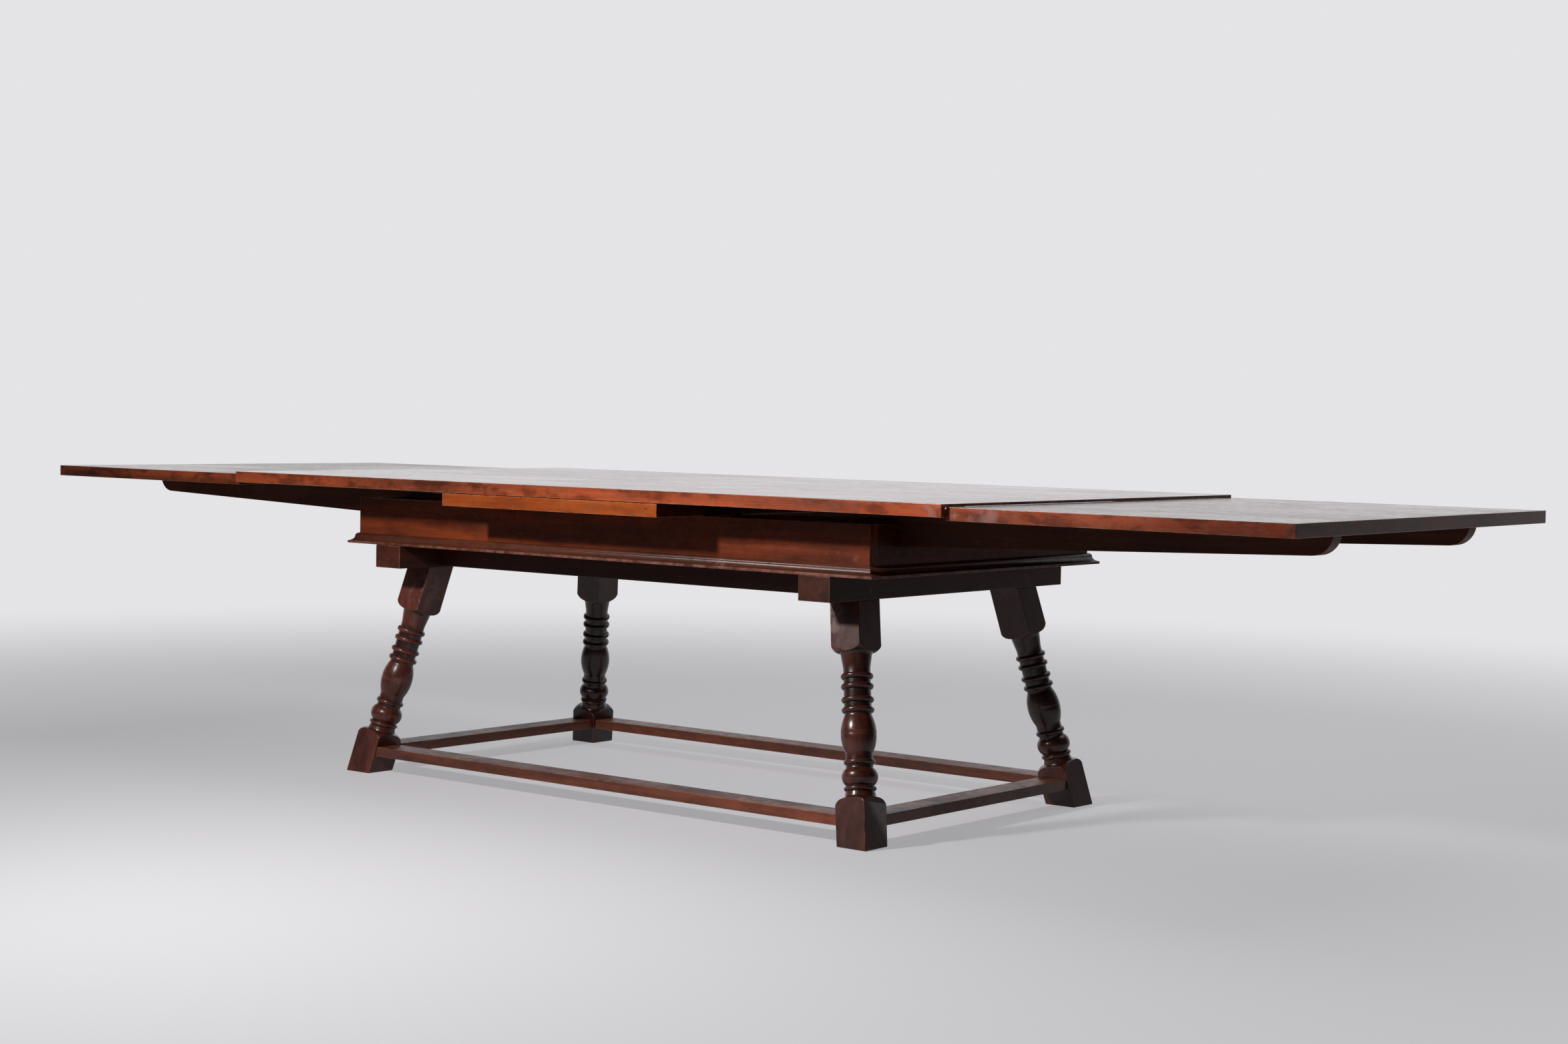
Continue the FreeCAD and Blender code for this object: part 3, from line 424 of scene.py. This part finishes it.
# %% Stains, marks and how strongly each shows
DARK_STAIN, BLOTCH_COLOUR = (0.42, 0.36, 0.34, 1.0), (0.30, 0.22, 0.17, 1.0)
END_STAIN_AND_SHADE, SCUFF_AND_SHEEN_COLOUR = (0.22, 0.18, 0.16, 1.0), (0.34, 0.20, 0.18, 1.0)
DENT_COLOUR, DIRT_AND_SHADE_COLOUR = (0.012, 0.006, 0.005, 1.0), (0.016, 0.008, 0.006, 1.0)
STREAK_SHARE, STAIN_SHARE, PORE_SHARE, DENT_SHARE = 0.32, 0.50, 0.40, 0.80
RUB_SHARE, SCUFF_AND_SHEEN_SHARE, DIRT_AND_SHADE_SHARE = 0.65, 0.38, 0.85
SHEEN_RANGE, PORE_ROUGHNESS, DENT_DEPTH, RELIEF_DEPTH = (0.36, 0.64), 0.10, 2.0, 0.25 * MM
SPOT_CORE = 0.3  # the share of a spot's radius in which it is full


def opaque(colour, shade):
    return (*(channel * shade for channel in colour), 1.0)


def spot_mask(tree, place, spots):
    """Soft spots round the given places; a piece without any gets none."""
    total = 0.0
    for spot, radius in spots:
        away = vector_maths(tree, "DISTANCE", place, spot)["Value"]
        total = maths(tree, "MAXIMUM", spread(tree, away, SPOT_CORE * radius, radius, 1.0, 0.0), total)
    return total


def wood_colour(tree, tone, shade, upward, endwise, grain, use_and_light, darkened):
    light = mixed(tree, upward, opaque(tone["side"], shade), opaque(tone["light"], shade))
    dark = opaque(tone["dark"], shade)
    wood = mixed(tree, grain["Figure"], dark, light)
    wood = mixed(tree, maths(tree, "MULTIPLY", grain["Streak"], STREAK_SHARE), wood, light, "OVERLAY")
    # a darker patch where one is listed
    if darkened:
        wood = mixed(tree, darkened, wood, DARK_STAIN, "MULTIPLY")
    # end faces darken: stain in the end grain, and painted shade on the centre board
    end_darkening = tone.get("end_grain_and_shade", PLAIN_END_GRAIN)
    wood = mixed(tree, maths(tree, "MULTIPLY", endwise, end_darkening), wood, END_STAIN_AND_SHADE, "MULTIPLY")
    layers = [
        (use_and_light["Stain"], STAIN_SHARE, DARK_STAIN, "MULTIPLY"),
        (use_and_light["Blotch"], tone["blotch"], BLOTCH_COLOUR, "MULTIPLY"),
        (grain["Pores"], PORE_SHARE, dark, "MIX"),
        (use_and_light["Dents"], DENT_SHARE, DENT_COLOUR, "MIX"),
        (use_and_light["Rubbed"], RUB_SHARE, opaque(tone["rubbed"], shade), "MIX"),
        # pale scuffs of wear, and on the front right leg a painted sheen
        (use_and_light["Scuffed"], SCUFF_AND_SHEEN_SHARE, SCUFF_AND_SHEEN_COLOUR, "MIX"),
        # dark hollows: dirt in the joints, and dirt and painted shade in the grooves
        (use_and_light["DirtAndShade"], DIRT_AND_SHADE_SHARE, DIRT_AND_SHADE_COLOUR, "MIX"),
    ]
    for mask, amount, colour, blend in layers:
        wood = mixed(tree, maths(tree, "MULTIPLY", mask, amount), wood, colour, blend)
    return wood


def wood_roughness(tree, tone, upward, downward, shaped, grain, use_and_light):
    def gloss(pair):
        return spread(tree, use_and_light["Sheen"], *SHEEN_RANGE, *pair)

    rough = gloss(tone["gloss"])
    if "side_gloss" in tone:
        rough = between(tree, upward, gloss(tone["side_gloss"]), rough)
    if "shaped_gloss" in tone:
        rough = between(tree, shaped, rough, gloss(tone["shaped_gloss"]))
    rough = between(tree, downward, rough, UNDERSIDE_ROUGHNESS)
    return maths(tree, "ADD", rough, maths(tree, "MULTIPLY", grain["Pores"], PORE_ROUGHNESS))


# %% The wood recipe
GRAIN_TURN = {"X": (0.0, 0.0, 0.0), "Y": (0.0, 0.0, -math.pi / 2), "Z": (0.0, math.pi / 2, 0.0)}
UPWARD_RANGE, DOWNWARD_RANGE, ENDWISE_RANGE = (0.35, 0.75), (-0.90, -0.70, 1.0, 0.0), (0.70, 0.90)


def make_wood(name, tone, along, pith, centre, shade, scuffs_and_sheen, dark_patches):
    """Waxed wood whose grain runs along one axis; pith is where the ring centre lies from the piece."""
    material = bpy.data.materials.new(name)
    material.use_nodes = True
    tree = material.node_tree
    shader = tree.nodes["Principled BSDF"].inputs
    place = tree.nodes.new("ShaderNodeTexCoord").outputs["Object"]
    turned = node(tree, "Mapping", {"vector_type": "TEXTURE"}, Vector=place, Location=centre).outputs[0]
    turned = node(tree, "Mapping", Vector=turned, Rotation=GRAIN_TURN[along], Location=pith).outputs[0]
    arris, hollow, shaped = (node(tree, "Attribute", {"attribute_name": title}).outputs["Fac"]
                             for title in ("arris", "hollow", "shaped"))
    grain = node(tree, "Group", {"node_tree": grain_group}, Vector=turned).outputs
    use_and_light = node(tree, "Group", {"node_tree": use_and_light_group}, Vector=turned, Arris=arris, Hollow=hollow,
               Scuff=spot_mask(tree, place, scuffs_and_sheen)).outputs
    normal = tree.nodes.new("ShaderNodeNewGeometry").outputs["Normal"]
    facing = node(tree, "SeparateXYZ", Vector=normal).outputs
    upward = spread(tree, maths(tree, "ABSOLUTE", facing["Z"]), *UPWARD_RANGE)
    downward = spread(tree, facing["Z"], *DOWNWARD_RANGE)
    endwise = spread(tree, maths(tree, "ABSOLUTE", facing[along]), *ENDWISE_RANGE)
    darkened = spot_mask(tree, place, dark_patches)
    colour = wood_colour(tree, tone, shade, upward, endwise, grain, use_and_light, darkened)
    fill_socket(tree, shader["Base Color"], colour)
    roughness = wood_roughness(tree, tone, upward, downward, shaped, grain, use_and_light)
    fill_socket(tree, shader["Roughness"], roughness)
    shader["Coat Weight"].default_value = tone.get("coat", 0.0)
    shader["Specular IOR Level"].default_value = tone.get("specular", PLAIN_SPECULAR)
    height = maths(tree, "SUBTRACT", grain["Height"], maths(tree, "MULTIPLY", use_and_light["Dents"], DENT_DEPTH))
    bump = node(tree, "Bump", Height=height, Strength=tone["relief"], Distance=RELIEF_DEPTH)
    fill_socket(tree, shader["Normal"], bump.outputs[0])
    return material


# %% [markdown]
# ## Eased pieces
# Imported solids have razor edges, and wood never has. Each visible piece is a copy of its solid: the loose
# triangles are merged and flat neighbours dissolved, and then the straight arrises are bevelled by a
# millimetre or two, as a plane or long use leaves them. A Bevel modifier would round the fine edges of
# the turned rings as well; here, short edges are left out, and curved ones keep the shape that the lathe
# gave.

# %% A copy of a solid with eased arrises
MERGE_DISTANCE, FLAT_ANGLE, SHARP_ANGLE = 0.02 * MM, math.radians(0.05), math.radians(28)
SMOOTH_ANGLE, BEVEL_STEPS = math.radians(50), 2


def is_arris(edge, shortest):
    """A sharp straight edge between two faces, long enough to be planed."""
    if len(edge.link_faces) != 2 or edge.calc_length() < shortest:
        return False
    return edge.calc_face_angle_signed(0.0) > SHARP_ANGLE


def eased_copy(name, ease, shortest, is_joint):
    shape = bmesh.new()
    shape.from_mesh(frame["nodes"][name].data)
    bmesh.ops.remove_doubles(shape, verts=shape.verts, dist=MERGE_DISTANCE)
    bmesh.ops.dissolve_limit(shape, angle_limit=FLAT_ANGLE, verts=shape.verts, edges=shape.edges)
    layers = [shape.loops.layers.float.new(title) for title in ("arris", "hollow", "shaped")]
    arrises = [edge for edge in shape.edges if is_arris(edge, shortest)]
    made = bmesh.ops.bevel(
        shape, geom=arrises, offset=ease, offset_type="OFFSET", affect="EDGES", segments=BEVEL_STEPS,
        profile=0.5, material=-1, clamp_overlap=False, loop_slide=True)
    mark_wear_and_shade(shape, layers, made["faces"], is_joint)
    mesh = bpy.data.meshes.new(name + "_dressed")
    shape.to_mesh(mesh)
    shape.free()
    mesh.polygons.foreach_set("use_smooth", [True] * len(mesh.polygons))
    mesh.set_sharp_from_angle(angle=SMOOTH_ANGLE)
    piece = bpy.data.objects.new(name + "_dressed", mesh)
    bpy.context.scene.collection.objects.link(piece)
    return piece, len(arrises)


def keep_flats_flat(piece):
    """Weighted normals keep the broad faces flat beside their rounded arrises."""
    weigh = piece.modifiers.new("flat_faces", "WEIGHTED_NORMAL")
    weigh.keep_sharp = True


# %% [markdown]
# ## Where wear, dirt and painted shade go
# Cloths rub the crests of turned rings and mouldings, and the grooves between them are darkened, partly
# as dirt and partly as painted shade. Both can be read from the shape: at each point of a narrow face, the
# mean angle of its edges is over zero on a crest and under zero in a groove. Bevelled arrises are rubbed,
# unless they meet a neighbour in a joint, which dirt fills. Painting by hand would do too, but it would
# have to be done again after each change of the shape.

# %% Write wear, dirt and painted shade to the corners of the faces
NARROW_FACE = 12 * MM
CREST_BEND, GROOVE_BEND = (math.radians(7), math.radians(20)), (math.radians(2), math.radians(16))


def bend_at(vert):
    """How far the surface turns outwards at a point: the mean of its edges, weighed by length."""
    edges = [edge for edge in vert.link_edges if len(edge.link_faces) == 2]
    length = sum(edge.calc_length() for edge in edges)
    bend = sum(edge.calc_face_angle_signed(0.0) * edge.calc_length() for edge in edges)
    return bend / max(length, MERGE_DISTANCE)


def share(value, low, high):
    return min(max((value - low) / (high - low), 0.0), 1.0)


def mark_wear_and_shade(shape, layers, bevels, is_joint):
    arris, hollow, shaped = layers
    bends = {vert: bend_at(vert) for vert in shape.verts}
    for face in shape.faces:
        if face.calc_area() < NARROW_FACE * max(edge.calc_length() for edge in face.edges):
            for loop in face.loops:
                loop[arris] = share(bends[loop.vert], *CREST_BEND)
                # grooves are darkened: dirt, and painted shade
                loop[hollow] = share(-bends[loop.vert], *GROOVE_BEND)
                loop[shaped] = 1.0
    for face in bevels:
        joint = is_joint(face.calc_center_median())
        for loop in face.loops:
            loop[arris], loop[hollow] = (0.0, 1.0) if joint else (1.0, 0.0)


# %% [markdown]
# ## Which wood each piece is
# The rows below go from the floor up: legs, stretchers, bearers and rails, the frieze and its moulding,
# the leaves with their runners, the fixed centre board and the loose top. A row gives the names of its
# nodes, the tone, the way the grain runs, how far the arrises are eased in millimetres, the shortest edge
# that is eased, and which arrises are joints between boards. Inner rails, pegs and dowels are out of
# sight: their ease is 0, and they keep their plain solids and only get a wood.

# %% List the pieces
SIDES, FACES, BOARDS = ("left", "right"), ("front", "back"), range(1, 6)
LEAF_SIDE, LEAF_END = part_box("right_leaf_board_5")[1].y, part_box("right_leaf_lipping")[1].x
STRIP_MIDDLE = (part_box("back_top_strip")[0].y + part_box("back_top_strip")[1].y) / 2
TOP_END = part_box("top_board_3")[1].x
EDGE_BAND, CLEAN_END = 5 * MM, 50 * MM


def no_joint(place):
    return False


def top_joint(place):
    if abs(place.x) > TOP_END - EDGE_BAND:
        return place.y > CLEAN_END
    return abs(place.y) < STRIP_MIDDLE


def leaf_joint(place):
    if abs(place.x) < TOP_END + EDGE_BAND:
        return place.y > CLEAN_END
    return abs(place.y) < LEAF_SIDE - EDGE_BAND and abs(place.x) < LEAF_END - EDGE_BAND


PIECES = [
    ([f"{face}_{side}_leg" for face in FACES for side in SIDES], "leg", "Z", 2.2, 30, no_joint),
    ([f"{face}_stretcher" for face in FACES], "stretcher", "X", 1.6, 10, no_joint),
    ([f"{side}_stretcher" for side in SIDES], "stretcher", "Y", 1.6, 10, no_joint),
    ([f"{side}_bearer" for side in SIDES], "bearer", "Y", 1.8, 12, no_joint),
    ([f"{face}_rail" for face in FACES], "bearer", "X", 1.5, 12, no_joint),
    ([f"{face}_frieze" for face in FACES], "frieze", "X", 0.8, 12, no_joint),
    ([f"{side}_frieze" for side in SIDES], "frieze", "Y", 0.8, 12, no_joint),
    ([f"{face}_moulding" for face in FACES], "moulding", "X", 0.5, 12, no_joint),
    ([f"{side}_moulding" for side in SIDES], "moulding", "Y", 0.5, 12, no_joint),
    ([f"{side}_inner_rail" for side in SIDES], "peg", "Y", 0, 0, no_joint),
    (["corner_blocks"], "runner", "Z", 1.0, 8, no_joint),
    ([f"{side}_{face}_runner" for side in SIDES for face in FACES], "runner", "X", 0.5, 12, no_joint),
    ([f"{side}_leaf_board_{board}" for side in SIDES for board in BOARDS], "leaf", "X", 0.9, 12, leaf_joint),
    ([f"{side}_leaf_lipping" for side in SIDES], "leaf", "Y", 1.2, 12, leaf_joint),
    (["centre_board"], "centre", "X", 1.2, 12, no_joint),
    ([f"top_board_{board}" for board in BOARDS], "top", "X", 0.9, 5, top_joint),
    ([f"{face}_top_strip" for face in FACES], "top", "X", 1.2, 12, top_joint),
    (["stretcher_pegs", "leg_pegs"], "peg", "X", 0, 0, no_joint),
    (["frieze_dowels", "left_stop_pegs", "right_stop_pegs"], "peg", "Y", 0, 0, no_joint),
    (["bearer_dowels", "board_dowels", "left_runner_dowels", "right_runner_dowels", "top_pegs"],
     "peg", "Z", 0, 0, no_joint),
]
SCUFFS_AND_SHEEN = {  # places in metres, and how far each reaches: scuffs of wear, and one painted sheen
    "front_top_strip": [((1.110, -0.604, 0.752), 0.040)],
    "right_leaf_board_1": [((1.165, -0.588, 0.748), 0.045), ((1.235, -0.588, 0.745), 0.035)],
    "left_front_runner": [((-1.420, -0.280, 0.712), 0.020)],
    "front_moulding": [((0.410, -0.462, 0.604), 0.022)],
    "front_left_leg": [((-0.652, -0.365, 0.470), 0.080)],
    # a painted sheen on the block's front face, where the lamp's reflection falls, drawn as a pale scuff
    "front_right_leg": [((0.640, -0.375, 0.490), 0.080)],
}
DARK_PATCHES = {"right_leaf_board_1": [((1.880, -0.588, 0.748), 0.420)]}  # a darker patch at the far end of the right leaf's edge, written in the same way
# painted light and shade: left-hand pieces are lightened, and end, back and right-hand pieces darkened
PAINTED_LIGHT_AND_SHADE = {  # how light these pieces are beside their tone; the others get a shade by their place in the row
    "right_frieze": 0.45, "left_frieze": 0.45, "front_left_leg": 1.32, "front_right_leg": 0.74,
    "back_left_leg": 0.60, "back_right_leg": 0.72, "left_front_runner": 1.35, "left_bearer": 1.35,
    "back_stretcher": 0.75, "right_stretcher": 0.78,
}
BODY_OF = {name: body for body, names in frame["record"]["behaviour"]["bodies"].items() for name in names}
print(sum(len(row[0]) for row in PIECES), "pieces in", len(PIECES), "rows")

# %% [markdown]
# ## How each plank is cut
# No two planks come from the same place in a tree. Random numbers could choose where each pith lies, but
# multiples of the golden ratio differ widely between neighbours in a row, and are the same on each run.

# %% Choose how each plank is cut
GOLDEN = 0.61803
PITH_ALONG, PITH_ASIDE, PITH_DEPTH, SHADE_RANGE = 7.3, 0.16, (0.05, 0.09), (0.88, 0.24)


def golden_share(order, power=1):
    """A number from 0 to 1 that differs widely between neighbours in a row."""
    return (order * GOLDEN ** power) % 1.0


def cut_of(order):
    """Where the pith lies from a piece, so that neighbouring planks show different cuts."""
    turn = golden_share(order)
    depth = PITH_DEPTH[0] + PITH_DEPTH[1] * golden_share(order, 2)
    return (PITH_ALONG * turn, PITH_ASIDE * (turn - 0.5), depth)


def shade_of(order):
    return SHADE_RANGE[0] + SHADE_RANGE[1] * golden_share(order, 3)


def middle_of(name):
    low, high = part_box(name)
    return (low + high) / 2


def wood_for(name, tone, along, order):
    shade = PAINTED_LIGHT_AND_SHADE.get(name, shade_of(order))
    scuffs_and_sheen, dark_patches = SCUFFS_AND_SHEEN.get(name, ()), DARK_PATCHES.get(name, ())
    pith, centre = cut_of(order), middle_of(name)
    return make_wood(name + "_wood", TONES[tone], along, pith, centre, shade, scuffs_and_sheen, dark_patches)


# %% [markdown]
# ## Dressing
# Each piece now gets its wood, and each visible one an eased copy that rides on the same body as its
# solid and stands for it. Like pieces could share a mesh and be placed by their objects, but here every
# mesh holds its own place, so that the grain stays where it is when the table is exported.

# %% Dress the pieces
order = 0
for names, tone, along, ease_mm, shortest_mm, is_joint in PIECES:
    eased = 0
    for name in names:
        order += 1
        wood = wood_for(name, tone, along, order)
        if ease_mm == 0:
            frame["nodes"][name].material_slots[0].material = wood
            continue
        piece, count = eased_copy(name, ease_mm * MM, shortest_mm * MM, is_joint)
        eased += count
        keep_flats_flat(piece)
        piece.data.materials.append(wood)
        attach(piece, BODY_OF[name])
        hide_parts(name)
    print(names[0], "and like:", len(names), "pieces,", eased, "arrises eased")
print(order, "woods in all")
